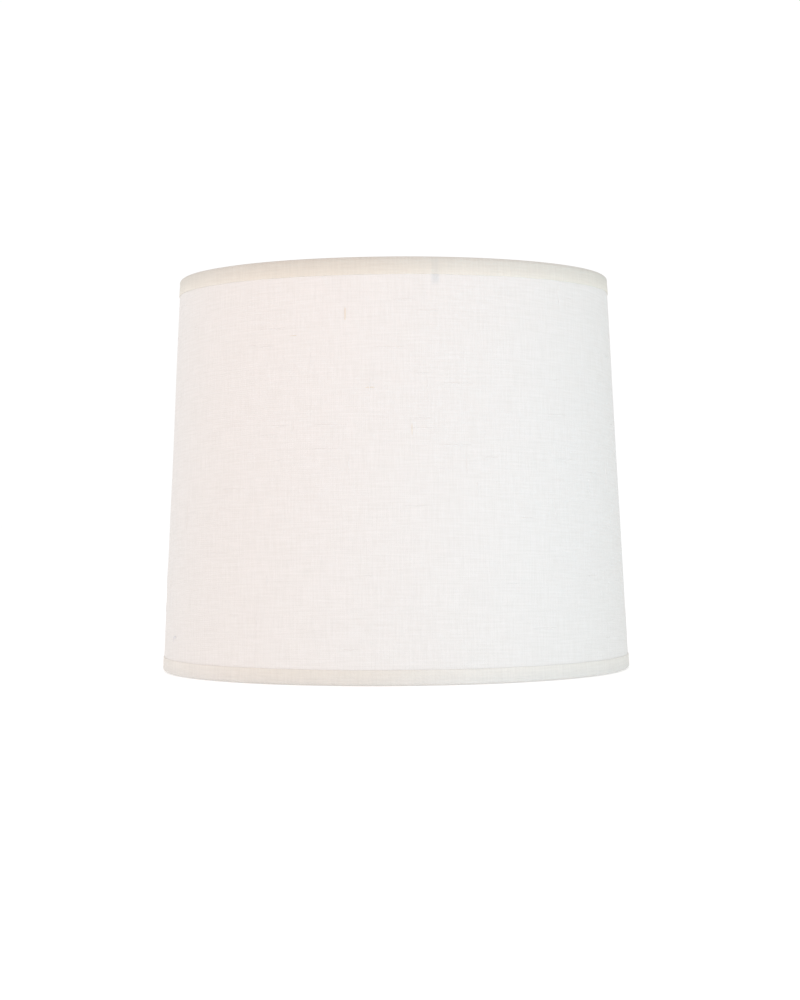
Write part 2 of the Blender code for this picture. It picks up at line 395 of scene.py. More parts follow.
def threads(tree, place, axis, spacing):
    """Round thread profiles, from 0 between threads to 1 on top of one, counted along an axis."""
    phase = add_node(
        tree, "ShaderNodeMath", {0: (place, axis), 1: math.pi / spacing}, operation="MULTIPLY"
    )
    wave = add_node(tree, "ShaderNodeMath", {0: (phase, 0)}, operation="SINE")
    return add_node(tree, "ShaderNodeMath", {0: (wave, 0)}, operation="ABSOLUTE")


def uneven_yarn(tree, millimetres, scale):
    """Noise that is stretched along the threads by a scale per millimetre in each direction."""
    stretched = add_node(
        tree, "ShaderNodeMapping", {"Vector": (millimetres, "Vector"), "Scale": scale}
    )
    return add_node(
        tree,
        "ShaderNodeTexNoise",
        {"Vector": (stretched, "Vector"), "Scale": 1.0, "Detail": 2.0, "Roughness": 0.6},
    )


def wandering_place(tree, millimetres, spacing):
    """Flat places, moved so that threads drift sideways as they do in real cloth."""
    drift = add_node(
        tree,
        "ShaderNodeTexNoise",
        {"Vector": (millimetres, "Vector"), "Scale": WANDER_SCALE, "Detail": 1.0},
    )
    centred = add_node(
        tree,
        "ShaderNodeVectorMath",
        {0: (drift, "Color"), 1: (0.5, 0.5, 0.5)},
        operation="SUBTRACT",
    )
    shift = add_node(
        tree,
        "ShaderNodeVectorMath",
        {0: (centred, 0), "Scale": THREAD_WANDER * spacing},
        operation="SCALE",
    )
    return add_node(
        tree, "ShaderNodeVectorMath", {0: (millimetres, "Vector"), 1: (shift, 0)}, operation="ADD"
    )


def plain_weave(tree, wandering, spacing):
    """Height of the cloth, from 0 to 1, where each thread goes over one and under the next."""
    place = add_node(tree, "ShaderNodeSeparateXYZ", {0: (wandering, 0)})
    warp = threads(tree, place, "X", spacing)
    weft = threads(tree, place, "Y", spacing)
    over = add_node(tree, "ShaderNodeTexChecker", {"Vector": (wandering, 0), "Scale": 1 / spacing})
    return add_node(
        tree, "ShaderNodeMix", {"Factor": (over, "Fac"), "A": (warp, 0), "B": (weft, 0)}
    )


print(f"a thread drifts by up to {THREAD_WANDER / 2} of its spacing to either side")

# %% [markdown]
# Some shade is painted into the cloth's colour. Where an arm stands close behind the panel, a faint
# painted shadow darkens the cloth. The bindings are painted darker towards an edge, which on the top
# binding is painted shade where the strip turns over the wire. Both bindings also get painted shade,
# darker and warmer, on one side towards the front left. Each mark is a soft area whose amount goes
# from 0 to 1, and a tone says how much red, green and blue it takes away.


# %% Painted shadow and shade on the cloth
FIRST_ARM = 11.0  # azimuth of the first spider arm
SHADOW_AZIMUTH = FIRST_ARM - 0.8  # its painted shadow lies a little to the left, as light from the right would throw it
SHADOW_LOW = PANEL_TOP - 15 * MM  # the arm's level run is this far down
SHADOW_FADE = 3 * MM  # over which the mark starts, on both sides of that height
SHADOW_CORE = 0.8 * MM  # from an arm's middle to where its mark starts to fade
SHADOW_REACH = 3.6 * MM  # and to where it ends
WARM_SIDE_AZIMUTH = -19.0  # middle of the side that gets painted warm shade
WARM_SIDE_CORE = 6.0  # degrees from there to where the painted shade starts to fade
WARM_SIDE_REACH = 38.0  # and to where it ends


def object_axes(tree):
    """The shaded point's X, Y and Z on the shade."""
    place = add_node(tree, "ShaderNodeTexCoord")
    return add_node(tree, "ShaderNodeSeparateXYZ", {0: (place, "Object")})


def angle_from(tree, axes, azimuth, count):
    """Angle round the shade to the nearest of a count of even azimuths, the first of them given."""
    front = add_node(tree, "ShaderNodeMath", {0: (axes, "Y"), 1: -1.0}, operation="MULTIPLY")
    here = add_node(tree, "ShaderNodeMath", {0: (axes, "X"), 1: (front, 0)}, operation="ARCTAN2")
    from_first = add_node(
        tree, "ShaderNodeMath", {0: (here, 0), 1: math.radians(azimuth)}, operation="SUBTRACT"
    )
    half = math.pi / count
    from_nearest = add_node(
        tree, "ShaderNodeMath", {0: (from_first, 0), 1: half, 2: -half}, operation="WRAP"
    )
    return add_node(tree, "ShaderNodeMath", {0: (from_nearest, 0)}, operation="ABSOLUTE")


def less_by(tree, amount, tone):
    """White, less a tone of (red, green, blue) shares where an amount is 1."""
    return add_node(
        tree,
        "ShaderNodeVectorMath",
        {0: amount, 1: [-share for share in tone], 2: (1, 1, 1)},
        operation="MULTIPLY_ADD",
    )


def arm_shadow(tree, tone):
    """Painted shadow: darkens cloth by a tone where a spider arm stands close behind it."""
    axes = object_axes(tree)
    aside = angle_from(tree, axes, SHADOW_AZIMUTH, 3)
    beside = add_node(
        tree,
        "ShaderNodeMapRange",
        {
            "Value": (aside, 0),
            "From Min": SHADOW_CORE / TOP_RADIUS,
            "From Max": SHADOW_REACH / TOP_RADIUS,
            "To Min": 1.0,
            "To Max": 0.0,
        },
        interpolation_type="SMOOTHSTEP",
    )
    above = add_node(
        tree,
        "ShaderNodeMapRange",
        {
            "Value": (axes, "Z"),
            "From Min": SHADOW_LOW - SHADOW_FADE,
            "From Max": SHADOW_LOW + SHADOW_FADE,
        },
        interpolation_type="SMOOTHSTEP",
    )
    below = add_node(
        tree,
        "ShaderNodeMapRange",
        {
            "Value": (axes, "Z"),
            "From Min": PANEL_TOP - 2 * MM,
            "From Max": PANEL_TOP + 1 * MM,
            "To Min": 1.0,
            "To Max": 0.0,
        },
        interpolation_type="SMOOTHSTEP",
    )
    tall = add_node(tree, "ShaderNodeMath", {0: (above, 0), 1: (below, 0)}, operation="MULTIPLY")
    behind = add_node(tree, "ShaderNodeMath", {0: (tall, 0), 1: (beside, 0)}, operation="MULTIPLY")
    return less_by(tree, (behind, 0), tone)


def darker_towards_edge(tree, edge_z, unmarked_z, tone):
    """Darkens cloth by a tone towards an edge, but not further in; on the top binding it is painted
    shade.
    """
    towards_edge = add_node(
        tree,
        "ShaderNodeMapRange",
        {"Value": (object_axes(tree), "Z"), "From Min": unmarked_z, "From Max": edge_z},
    )
    return less_by(tree, (towards_edge, 0), tone)


def painted_warm_side(tree, tone):
    """Painted shade: darkens and warms cloth by a tone on one side of the shade."""
    aside = angle_from(tree, object_axes(tree), WARM_SIDE_AZIMUTH, 1)
    warm_shaded = add_node(
        tree,
        "ShaderNodeMapRange",
        {
            "Value": (aside, 0),
            "From Min": math.radians(WARM_SIDE_CORE),
            "From Max": math.radians(WARM_SIDE_REACH),
            "To Min": 1.0,
            "To Max": 0.0,
        },
        interpolation_type="SMOOTHSTEP",
    )
    return less_by(tree, (warm_shaded, 0), tone)


print(f"marks: arms at {FIRST_ARM:.0f} degrees and on, sun at {WARM_SIDE_AZIMUTH:.0f} degrees")

# %% [markdown]
# The cloth material puts these together. Thick yarn is lighter and stands up by a twentieth of a
# millimetre. The cloth is rough, with a trace of sheen, because fine fibres stand off the yarn.


# %% Woven cloth, for the panel and the bindings
RELIEF = 0.05 * MM
THIN_YARN, THICK_YARN = 0.34, 0.64  # the thicknesses that look darkest and lightest


def woven(name, dark, light, spacing, roughness=0.9, sheen=0.0, shadow=None, edge_darkening=None, side_shade=None):
    """Plain-woven cloth on the flat cut's UVs, with the painted shadow and shade that it is given a
    tone for.
    """
    made, tree = new_material(name)
    uv = add_node(tree, "ShaderNodeUVMap", uv_map="flat_cut")
    millimetres = add_node(
        tree, "ShaderNodeMapping", {"Vector": (uv, "UV"), "Scale": (1000, 1000, 1000)}
    )
    weave = plain_weave(tree, wandering_place(tree, millimetres, spacing), spacing)
    warp_yarn = uneven_yarn(tree, millimetres, WARP_YARN)
    weft_yarn = uneven_yarn(tree, millimetres, WEFT_YARN)
    yarn = add_node(
        tree, "ShaderNodeMath", {0: (warp_yarn, "Fac"), 1: (weft_yarn, "Fac")}, operation="ADD"
    )
    height = add_node(tree, "ShaderNodeMath", {0: (yarn, 0), 1: (weave, 0)}, operation="MULTIPLY")
    thickness = add_node(tree, "ShaderNodeMath", {0: (yarn, 0), 1: 0.5}, operation="MULTIPLY")
    tint = add_node(
        tree,
        "ShaderNodeValToRGB",
        {"Fac": (thickness, 0)},
        stops=[(THIN_YARN, dark), (THICK_YARN, light)],
    )
    marks = []
    if shadow:
        marks.append(arm_shadow(tree, shadow))
    if edge_darkening:
        marks.append(darker_towards_edge(tree, *edge_darkening))
    if side_shade:
        marks.append(painted_warm_side(tree, side_shade))
    for mark in marks:
        tint = add_node(
            tree, "ShaderNodeVectorMath", {0: (tint, 0), 1: (mark, 0)}, operation="MULTIPLY"
        )
    bump = add_node(
        tree, "ShaderNodeBump", {"Height": (height, 0), "Strength": 1.0, "Distance": RELIEF}
    )
    shader = add_node(
        tree,
        "ShaderNodeBsdfPrincipled",
        {
            "Base Color": (tint, 0),
            "Roughness": roughness,
            "Sheen Weight": sheen,
            "Sheen Roughness": 0.5,
            "Specular IOR Level": 0.2,
            "Normal": (bump, "Normal"),
        },
    )
    add_node(tree, "ShaderNodeOutputMaterial", {"Surface": (shader, 0)})
    print(f"{name}: threads {spacing} mm apart, {len(tree.nodes)} nodes")
    return made


PANEL_THREADS = 1.2  # millimetres from thread to thread
linen_finish = woven(
    "bleached_slub_linen",
    "#E2E0DC",
    "#EAE8E5",
    PANEL_THREADS,
    sheen=0.03,
    shadow=(0.12, 0.09, 0.07),
)

# %% [markdown]
# ## The linen cover
#
# The cover goes once round, from its inner end under the lap to its outer end on top. Its outer end
# is turned back over the liner's cut edge, so the seam shows a soft fold and no raw threads. The
# grid's columns run on past the end by the length of that turn.

# %% Wrap the cover
PANEL_STEP = 1.0  # degrees between columns
FOLD_STEP = 0.1  # the same round the turned end
PANEL_ROWS = spaced(PANEL_BOTTOM, PANEL_TOP, 3 * MM)
FOLD_RADIUS = (LINER + LINEN) / 2 + GAP
FOLD_LENGTH = math.pi * FOLD_RADIUS + 0.5 * MM
PANEL_END = LAP_END + 360


def panel_wall(azimuth, z, out):
    """A point of the panel, whose far end climbs a whole turn on from its start."""
    return wall(azimuth, z, out, climb(azimuth - 360))


def cover_place(azimuth, z):
    """Middle of the linen. Past the panel's end, the azimuth is a length of cloth round the fold."""
    radius = cone(z)
    past_end = math.radians(azimuth - PANEL_END) * radius
    if past_end <= 0:
        return panel_wall(azimuth, z, -LINEN / 2)
    forward, inward = past_fold(past_end, FOLD_RADIUS)
    return wall(PANEL_END + math.degrees(forward / radius), z, -LINEN / 2 - inward, LAP_RISE)


def flat_cone(azimuth, z):
    """Place on the flat cut, a sector of a ring whose straight grain is at the front."""
    slant = cone(z) / math.sin(SLOPE)
    turn = math.radians(azimuth - 360) * math.sin(SLOPE)
    return slant * math.sin(turn), slant * math.cos(turn) - MIDDLE_RADIUS / math.sin(SLOPE)


cover_columns = spaced(LAP_START, PANEL_END, PANEL_STEP)
cover_columns += spaced(PANEL_END, PANEL_END + degrees_along(FOLD_LENGTH), FOLD_STEP)[1:]
linen = cut_and_lay("linen_wrap", cover_columns, PANEL_ROWS, cover_place, flat_cone)
finish_with(linen, "SOLIDIFY", thickness=LINEN, offset=0.0)
smooth(linen)
dress(linen, linen_finish)
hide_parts("linen_cover")


def sector_size(first, last):
    """Width, length and area of the flat cut between two azimuths."""
    outer = flat_cone(360 + (last - first) / 2, PANEL_BOTTOM)
    inner = flat_cone(360 + (last - first) / 2, PANEL_TOP)
    length = 2 * outer[0]
    width = flat_cone(360, PANEL_BOTTOM)[1] - inner[1]
    slant = PANEL_HEIGHT / math.cos(SLOPE)
    area = slant * MIDDLE_RADIUS * math.radians(last - first)
    return (width, length), area


cover_flat, cover_area = sector_size(cover_columns[0], cover_columns[-1])
report(linen, f"cut from {cover_flat[0]:.3f} x {cover_flat[1]:.3f} m")

# %% [markdown]
# ## Slubs
#
# A slub is a thick soft spot in the yarn. It stands proud of the weave, and where a bit of the
# flax's bark was spun in, it is brown, or grey where the flax was wetted for too long. Each one is a
# thin spindle that lies along a thread, half sunk in the cloth. One spindle is modelled, and its
# copies are laid on the wall: a handful of brown and grey ones, listed one by one, and pale ones
# scattered by a seeded draw.

# %% One slub
flax_fleck = woven("flax_bark_fleck", "#DFD7C9", "#E8E0D4", PANEL_THREADS)
grey_fleck = woven("over_retted_flax_fleck", "#D8D9DA", "#E0E0E0", PANEL_THREADS)
slub_yarn = woven("thick_linen_yarn", "#E2E0DC", "#EAE8E5", PANEL_THREADS)
SLUB_FLATNESS = 0.5  # a slub's thickness, as a share of its width
SLUB_LIFT = 0.02 * MM

bpy.ops.mesh.primitive_uv_sphere_add(
    segments=6, ring_count=8, radius=0.5, rotation=(0, math.pi / 2, 0)
)
spindle = named("spindle")


def slub(name, azimuth, z, length, width, upright):
    """A copy of the spindle, laid along a thread at an azimuth and a height."""
    copy = spindle.data.copy()
    obj = bpy.data.objects.new(name, copy)
    bpy.context.scene.collection.objects.link(obj)
    uv = copy.uv_layers.active
    uv.name = "flat_cut"
    flat_places = []
    for vertex in copy.vertices:
        x, y, out = vertex.co.x * length, vertex.co.y * width, vertex.co.z * width * SLUB_FLATNESS
        if upright:
            x, y = -y, x
        here = azimuth + math.degrees(x / cone(z))
        flat_places.append(flat_cone(here, z + y))
        vertex.co = wall(here, z + y, out + SLUB_LIFT)
    for loop in copy.loops:
        uv.data[loop.index].uv = flat_places[loop.vertex_index]
    return obj


report(spindle, "one slub before it is stretched")

# %% Brown, grey and pale slubs
BROWN_SLUBS = [
    # azimuth, height, length, width, upright
    (-11.8, 220 * MM, 8 * MM, 1.1 * MM, True),
    (-25.1, 208 * MM, 5 * MM, 0.5 * MM, False),
    (-5.7, 176 * MM, 6 * MM, 0.75 * MM, False),
    (4.1, 151 * MM, 7 * MM, 0.65 * MM, True),
    (96.0, 131 * MM, 7 * MM, 0.8 * MM, True),
    (148.0, 62 * MM, 6 * MM, 0.9 * MM, False),
    (223.0, 188 * MM, 8 * MM, 0.8 * MM, False),
    (262.0, 97 * MM, 7 * MM, 0.9 * MM, True),
]
GREY_SLUBS = [
    (-67.3, 24 * MM, 6 * MM, 1.7 * MM, False),
    (-68.4, 22.5 * MM, 4 * MM, 1.3 * MM, True),
    (119.0, 201 * MM, 5 * MM, 1.1 * MM, True),
]


def slub_group(name, places, finish):
    """The slubs of one colour, as one piece."""
    made = [slub(f"{name}_{i}", *where) for i, where in enumerate(places)]
    group = smooth(joined(made, name))
    dress(group, finish)
    report(group, f"{len(places)} spindles")


slub_group("brown_slubs", BROWN_SLUBS, flax_fleck)
slub_group("grey_slubs", GREY_SLUBS, grey_fleck)

PALE_SLUBS = 150
SLUB_MARGIN = 18 * MM  # clear of both bindings
draw = random.Random(11)
pale_places = [
    (
        draw.uniform(-165, 165),
        draw.uniform(PANEL_BOTTOM + SLUB_MARGIN, PANEL_TOP - SLUB_MARGIN),
        draw.uniform(5, 22) * MM,
        draw.uniform(0.5, 0.9) * MM,
        draw.random() < 0.45,
    )
    for _ in range(PALE_SLUBS)
]
slub_group("pale_slubs", pale_places, slub_yarn)
bpy.data.objects.remove(spindle)

# %% [markdown]
# ## The styrene liner
#
# Hardback liner is a sheet of white styrene. It is calendered, so it has a satin face with a very
# fine orange peel, and it carries faint scuffs from handling. It follows the same wall, one linen and
# one glue line further in.


# %% Satin styrene
ORANGE_PEEL = 450.0  # dimples to the metre, which is 2.2 mm from one to the next
GLOSS_CLOUDS = 14.0  # to the metre


def calendered_styrene():
    """White sheet, whose uneven gloss and fine orange peel show that it isn't paper."""
    made, tree = new_material("calendered_white_styrene")
    place = add_node(tree, "ShaderNodeTexCoord")
    peel = add_node(
        tree, "ShaderNodeTexNoise", {"Vector": (place, "Object"), "Scale": ORANGE_PEEL, "Detail": 2.0}
    )
    cloudy = add_node(
        tree,
        "ShaderNodeTexNoise",
        {"Vector": (place, "Object"), "Scale": GLOSS_CLOUDS, "Detail": 4.0},
    )
    tint = add_node(
        tree,
        "ShaderNodeValToRGB",
        {"Fac": (cloudy, "Fac")},
        stops=[(0.3, "#E6E5E0"), (0.7, "#EDECE8")],
    )
    gloss = add_node(
        tree, "ShaderNodeMapRange", {"Value": (cloudy, "Fac"), "To Min": 0.38, "To Max": 0.52}
    )
    bump = add_node(
        tree,
        "ShaderNodeBump",
        {"Height": (peel, "Fac"), "Strength": 0.25, "Distance": 0.05 * MM},
    )
    shader = add_node(
        tree,
        "ShaderNodeBsdfPrincipled",
        {
            "Base Color": (tint, "Color"),
            "Roughness": (gloss, "Result"),
            "IOR": 1.59,
            "Normal": (bump, "Normal"),
        },
    )
    add_node(tree, "ShaderNodeOutputMaterial", {"Surface": (shader, 0)})
    return made


def liner_place(azimuth, z):
    """Middle of the liner."""
    return panel_wall(azimuth, z, -LINEN - GAP - LINER / 2)


LINER_STEP = 1.5  # degrees between columns
liner_columns = spaced(LAP_START, PANEL_END, LINER_STEP)
liner = cut_and_lay("styrene_sheet", liner_columns, PANEL_ROWS, liner_place, flat_cone)
finish_with(liner, "SOLIDIFY", thickness=LINER, offset=0.0)
smooth(liner)
dress(liner, calendered_styrene())
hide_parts("styrene_liner")
report(liner, "one sheet, lapped at the back")

# %% [markdown]
# The tape in the lap keeps its CAD solid, because a flat strip is all it is. It only needs its
# finish: clear acrylic adhesive, slightly yellow, with a soft gloss.


# %% Seam tape
BUBBLES = 300.0  # to the metre


def acrylic_adhesive():
    """Slightly yellow adhesive with a soft gloss. Fine bubbles make it uneven."""
    made, tree = new_material("clear_acrylic_adhesive")
    place = add_node(tree, "ShaderNodeTexCoord")
    bubbles = add_node(
        tree, "ShaderNodeTexNoise", {"Vector": (place, "Object"), "Scale": BUBBLES, "Detail": 3.0}
    )
    tint = add_node(
        tree,
        "ShaderNodeValToRGB",
        {"Fac": (bubbles, "Fac")},
        stops=[(0.35, "#DCD5C2"), (0.65, "#EAE4D4")],
    )
    bump = add_node(
        tree, "ShaderNodeBump", {"Height": (bubbles, "Fac"), "Strength": 0.3, "Distance": 0.1 * MM}
    )
    shader = add_node(
        tree,
        "ShaderNodeBsdfPrincipled",
        {"Base Color": (tint, "Color"), "Roughness": 0.35, "Normal": (bump, "Normal")},
    )
    add_node(tree, "ShaderNodeOutputMaterial", {"Surface": (shader, 0)})
    return made


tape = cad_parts["seam_tape"]
tape.data.materials.clear()
tape.data.materials.append(acrylic_adhesive())
print("seam_tape: CAD solid kept, with its own finish")

# %% [markdown]
# ## Bindings
#
# A self-trim binding is a strip of the same linen, in cream, with both long edges turned under. It
# is glued down the outside, goes over the panel's edge, hugs the wire and tucks in behind it. So the
# strip's cross-section is a walk: a straight run, then a bend, then a run. `trace` walks it and
# counts the cloth that it uses, which is the strip's width when it was flat.


# %% Walk a section
def trace(start, heading, moves, grow, step):
    """(out, inward, cloth used) along a walk of runs, bends and folds.

    A bend goes round something, so its radius changes with grow. A fold is the cloth's own crease,
    so its radius stays."""
    out, inward = start
    angle = math.radians(heading)
    used = 0.0
    line = [(out, inward, used)]
    for kind, size, turn in moves:
        if kind == "run":
            count = max(1, round(size / step))
            for _ in range(count):
                out += math.cos(angle) * size / count
                inward += math.sin(angle) * size / count
                used += size / count
                line.append((out, inward, used))
            continue
        side = math.copysign(1, turn)
        radius = size - side * grow if kind == "bend" else size
        count = max(4, round(abs(turn) / 20))
        centre = (out - side * radius * math.sin(angle), inward + side * radius * math.cos(angle))
        for _ in range(count):
            angle += math.radians(turn) / count
            out = centre[0] + side * radius * math.sin(angle)
            inward = centre[1] - side * radius * math.cos(angle)
            used += radius * math.radians(abs(turn)) / count
            line.append((out, inward, used))
    return line


quarter = trace((0, 0), 0, [("bend", 1.0, 90)], grow=0.0, step=1.0)
print(f"a quarter bend of 1 mm radius uses {quarter[-1][2]:.2f} mm of cloth")

# %% [markdown]
# From its raw edge the strip turns under and comes back, runs up the outside, goes over the panel's
# edge and round the wire, and tucks in behind it, where its other raw edge is turned under too. How
# far each binding comes over the linen is measured on its CAD solid.

# %% The bindings' section
CLOTH = 0.18 * MM  # one layer, pressed
TRIM_FACE = 0.43 * MM  # from the linen to the binding's face
TURN_UNDER = 4.0 * MM  # width of the raw edge that is turned under
CREASE = 0.11 * MM  # radius of a pressed fold
EDGE_BEND = 2.0 * MM  # radius over the panel's edge
WIRE = 1.5 * MM  # radius of the wire
TUCK_BEND = 0.6 * MM  # radius where the strip turns in behind the wire
INNER_LEG = 4.4 * MM
INNER_TURN = 2.5 * MM
WIRE_OUT = -(LINEN + GAP + LINER + GAP + WIRE)  # from the linen's face to the wire's middle
OUTER_LAYER = TRIM_FACE - CLOTH / 2
EDGE_LAYER = 0.71 * MM  # from the panel's edge, or the wire, to the middle of the cloth
WIRE_BEND = WIRE + EDGE_LAYER
INNER_OUT = -(LINEN + GAP + LINER) - GAP - 0.25 * MM  # the inner leg, against the liner
SECTION_STEP = 1.2 * MM  # most between two points of a run


def outer_leg(node, edge_z):
    """How far a binding's CAD solid comes over the linen from the panel's edge."""
    corners = [v.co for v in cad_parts[node].data.vertices]
    outside = [c.z for c in corners if math.hypot(c.x, c.y) > cone(c.z)]
    return max(abs(z - edge_z) for z in outside)


BOTTOM_LEG = outer_leg("bottom_trim", PANEL_BOTTOM)
TOP_LEG = outer_leg("top_trim", PANEL_TOP)


def binding_section(leg, grow=0.0):
    """Cross-section of a binding.

    Each point stands out from the linen's face, and lies inward from the panel's edge."""
    moves = [
        ("run", TURN_UNDER - CREASE, 0),
        ("fold", CREASE, -180),
        ("run", leg - CREASE - EDGE_BEND + EDGE_LAYER, 0),
        ("bend", EDGE_BEND, -90),
        ("run", -WIRE_OUT - EDGE_BEND + OUTER_LAYER, 0),
        ("bend", WIRE_BEND, -180),
        ("run", INNER_OUT - WIRE_OUT - TUCK_BEND, 0),
        ("bend", TUCK_BEND, 90),
        ("run", INNER_LEG, 0),
        ("fold", CREASE, -180),
        ("run", INNER_TURN, 0),
    ]
    start = (OUTER_LAYER - 2 * CREASE + grow, leg - TURN_UNDER)
    return trace(start, 90, moves, grow, SECTION_STEP)


for edge, leg in (("bottom", BOTTOM_LEG), ("top", TOP_LEG)):
    section = binding_section(leg)
    print(f"{edge} strip: {len(section)} points across {section[-1][2] / MM:.1f} mm of cloth")

# %% [markdown]
# The strip goes once round and its end laps its start, next to the panel's seam at the back. The
# start is pressed in a little and the end rides over it. Glued cloth is never quite even either: the
# turned edge wanders by a fifth of a millimetre, and the face has faint puckers where it was drawn
# round the curve.

# %% Join, wander and puckers
JOIN = SEAM - 14.0  # azimuth of the strip's start
JOIN_LAP = 11 * MM
JOIN_PRESS = -0.08 * MM  # the start is pressed in
JOIN_LIFT = 0.36 * MM  # and the end rides over it
JOIN_EASE = 14 * MM  # length over which either comes back to even
STRIP_STEP = 0.75  # degrees between columns
EDGE_WANDER = 0.22 * MM
WANDERS = 9  # of the edge in a radian
PUCKER = 0.04 * MM
PUCKERS = 42  # in a radian
PUCKER_DRIFT = 150  # per metre of height, so that a pucker isn't straight
SINK = 0.12 * MM  # the face sinks where nothing is turned under
SINK_EASE = 1.5 * MM
BEND_START = EDGE_BEND - EDGE_LAYER


def join_grow(azimuth):
    """How far the binding's layers stand out near its start and its end."""
    after_start = ease((azimuth - JOIN - degrees_along(JOIN_LAP)) / degrees_along(JOIN_EASE))
    before_end = ease((JOIN + 360 - azimuth) / degrees_along(JOIN_EASE))
    return JOIN_PRESS * (1 - after_start) + JOIN_LIFT * (1 - before_end)


def binding_shape(edge_z, towards_middle, leg, seed):
    """The function that puts each point of a strip in its place round an edge."""
    sections = {}

    def shape(azimuth, number):
        grow = join_grow(azimuth)
        line = sections.setdefault(azimuth, binding_section(leg, grow))
        out, inward, used = line[number]
        around = at(1.0, azimuth, 0.0)
        if out > 0:
            leg_share = min(max(inward / leg, 0), 1)
            wander = noise.noise(around * WANDERS + Vector((0, 0, seed)))
            inward += EDGE_WANDER * leg_share * wander
            flat_leg = ease((inward - BEND_START) / SINK_EASE)
            if out > OUTER_LAYER + grow - CREASE:
                out -= SINK * flat_leg * ease((leg - TURN_UNDER - inward) / SINK_EASE)
            drift = Vector((0, 0, seed + inward * PUCKER_DRIFT))
            out += PUCKER * flat_leg * noise.noise(around * PUCKERS + drift)
        on_panel = ease(1 + out / (LINEN + GAP + LINER))
        z = edge_z + towards_middle * inward
        return at(cone(z) + out + cover_rise(azimuth) * on_panel, azimuth, z)

    return shape


print(f"join at azimuth {JOIN:.0f}, where the strip laps by {JOIN_LAP / MM:.0f} mm")

# %% [markdown]
# A binding is laid from its flat strip, as the panel was, and then given its thickness. Its cream
# linen is a finer weave, drawn 0.9 mm apart. It is painted darker towards its edge, and gets painted
# shade, darker and warmer, on one side.


# %% Lay a strip and finish it
BINDING_THREADS = 0.9  # millimetres from thread to thread


def bind(name, edge_z, towards_middle, leg, seed, extra_columns=()):
    """A binding strip, laid round an edge."""
    even = binding_section(leg)
    join_end = JOIN + 360 + degrees_along(JOIN_LAP)
    columns = sorted([*spaced(JOIN, join_end, STRIP_STEP), *extra_columns])

    def flat(azimuth, number):
        return math.radians(azimuth - 360) * cone(edge_z), even[number][2]

    shape = binding_shape(edge_z, towards_middle, leg, seed)
    strip = cut_and_lay(name, columns, range(len(even)), shape, flat)
    if towards_middle > 0:
        strip.data.flip_normals()
    return strip


def binding_cloth(name, dark, light, edge_z, unmarked_z, tone):
    """Cream linen in a finer weave, darker towards its edge, with a painted arm shadow and painted
    warm shade on one side.
    """
    return woven(
        name,
        dark,
        light,
        BINDING_THREADS,
        roughness=0.85,
        sheen=0.03,
        shadow=(0.05, 0.035, 0.02),
        edge_darkening=(edge_z, unmarked_z, tone),
        side_shade=(0.035, 0.05, 0.07),
    )


def finish_binding(strip, node, edge_z, leg, finish):
    """Gives a laid strip its thickness and finish, and says what it was cut from."""
    finish_with(strip, "SOLIDIFY", thickness=CLOTH, offset=0.0)
    smooth(strip)
    dress(strip, finish)
    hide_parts(node)
    width = binding_section(leg)[-1][2]
    length = 2 * math.pi * cone(edge_z) + JOIN_LAP
    report(strip, f"strip of {width / MM:.1f} x {length / MM:.0f} mm")


print(f"binding threads {BINDING_THREADS} mm apart")

# %% Bottom binding
bottom_binding = bind("bottom_binding", PANEL_BOTTOM, 1, BOTTOM_LEG, 3.0)
finish_binding(
    bottom_binding,
    "bottom_trim",
    PANEL_BOTTOM,
    BOTTOM_LEG,
    binding_cloth(
        "cream_linen_binding",
        "#E1DED7",
        "#EAE7E0",
        PANEL_BOTTOM,
        PANEL_BOTTOM + BOTTOM_LEG,
        (0.06, 0.05, 0.03),
    ),
)

# %% [markdown]
# The top binding has to let the spider's arms through. The maker snips its inner leg at each arm, up
# to the wire. The grid gets a column at both sides of each snip, and the faces between are deleted.

# %% Snip the top binding round the arms
ARM_RADIUS = 1.5 * MM
ARMS = [FIRST_ARM + 360 * i / 3 for i in range(3)]
SNIP_OUT = cone(PANEL_TOP) + WIRE_OUT
SNIP_TOP = PANEL_TOP - WIRE + 0.8 * MM
SNIP = math.degrees((ARM_RADIUS + 0.5 * MM) / SNIP_OUT)
snip_columns = [
    arm + turn + side * SNIP
    for arm in ARMS
    for turn in (0, 360)
    for side in (-1, 1)
    if JOIN < arm + turn < JOIN + 360
]
top_binding = bind("top_binding", PANEL_TOP, -1, TOP_LEG, 8.0, snip_columns)


def in_a_snip(centre, normal):
    """Whether a face of the inner leg stands where an arm comes through."""
    azimuth = math.degrees(math.atan2(centre.x, -centre.y))
    nearest = min(abs((azimuth - arm + 180) % 360 - 180) for arm in ARMS)
    inside = math.hypot(centre.x, centre.y) < SNIP_OUT + 0.9 * MM
    return nearest < SNIP and inside and centre.z < SNIP_TOP


edit_faces(top_binding, in_a_snip)
bpy.ops.mesh.delete(type="FACE")
bpy.ops.object.mode_set(mode="OBJECT")
# The top binding's cream is a little darker and warmer than the bottom one's, and its edge tone
# darkens it strongly towards the top edge: painted shade where the strip turns over the wire.
finish_binding(
    top_binding,
    "top_trim",
    PANEL_TOP,
    TOP_LEG,
    binding_cloth(
        "cream_linen_with_painted_edge_shade",
        "#E1DDD3",
        "#EAE6DC",
        PANEL_TOP,
        PANEL_TOP - TOP_LEG,
        (0.17, 0.16, 0.15),
    ),
)

# %% [markdown]
# ## Wires
#
# The rings, arms and washer are one welded fitting of mild steel with a thin coat of brass. Plated
# wire keeps the fine lines of the die that it was drawn through, and the plating is a little cloudy.


# %% Brass plate
TARNISH_CLOUDS = 120.0  # to the metre, which is 8 mm from one to the next
DRAWN_GRAIN = 2500.0  # to the metre, which is 0.4 mm


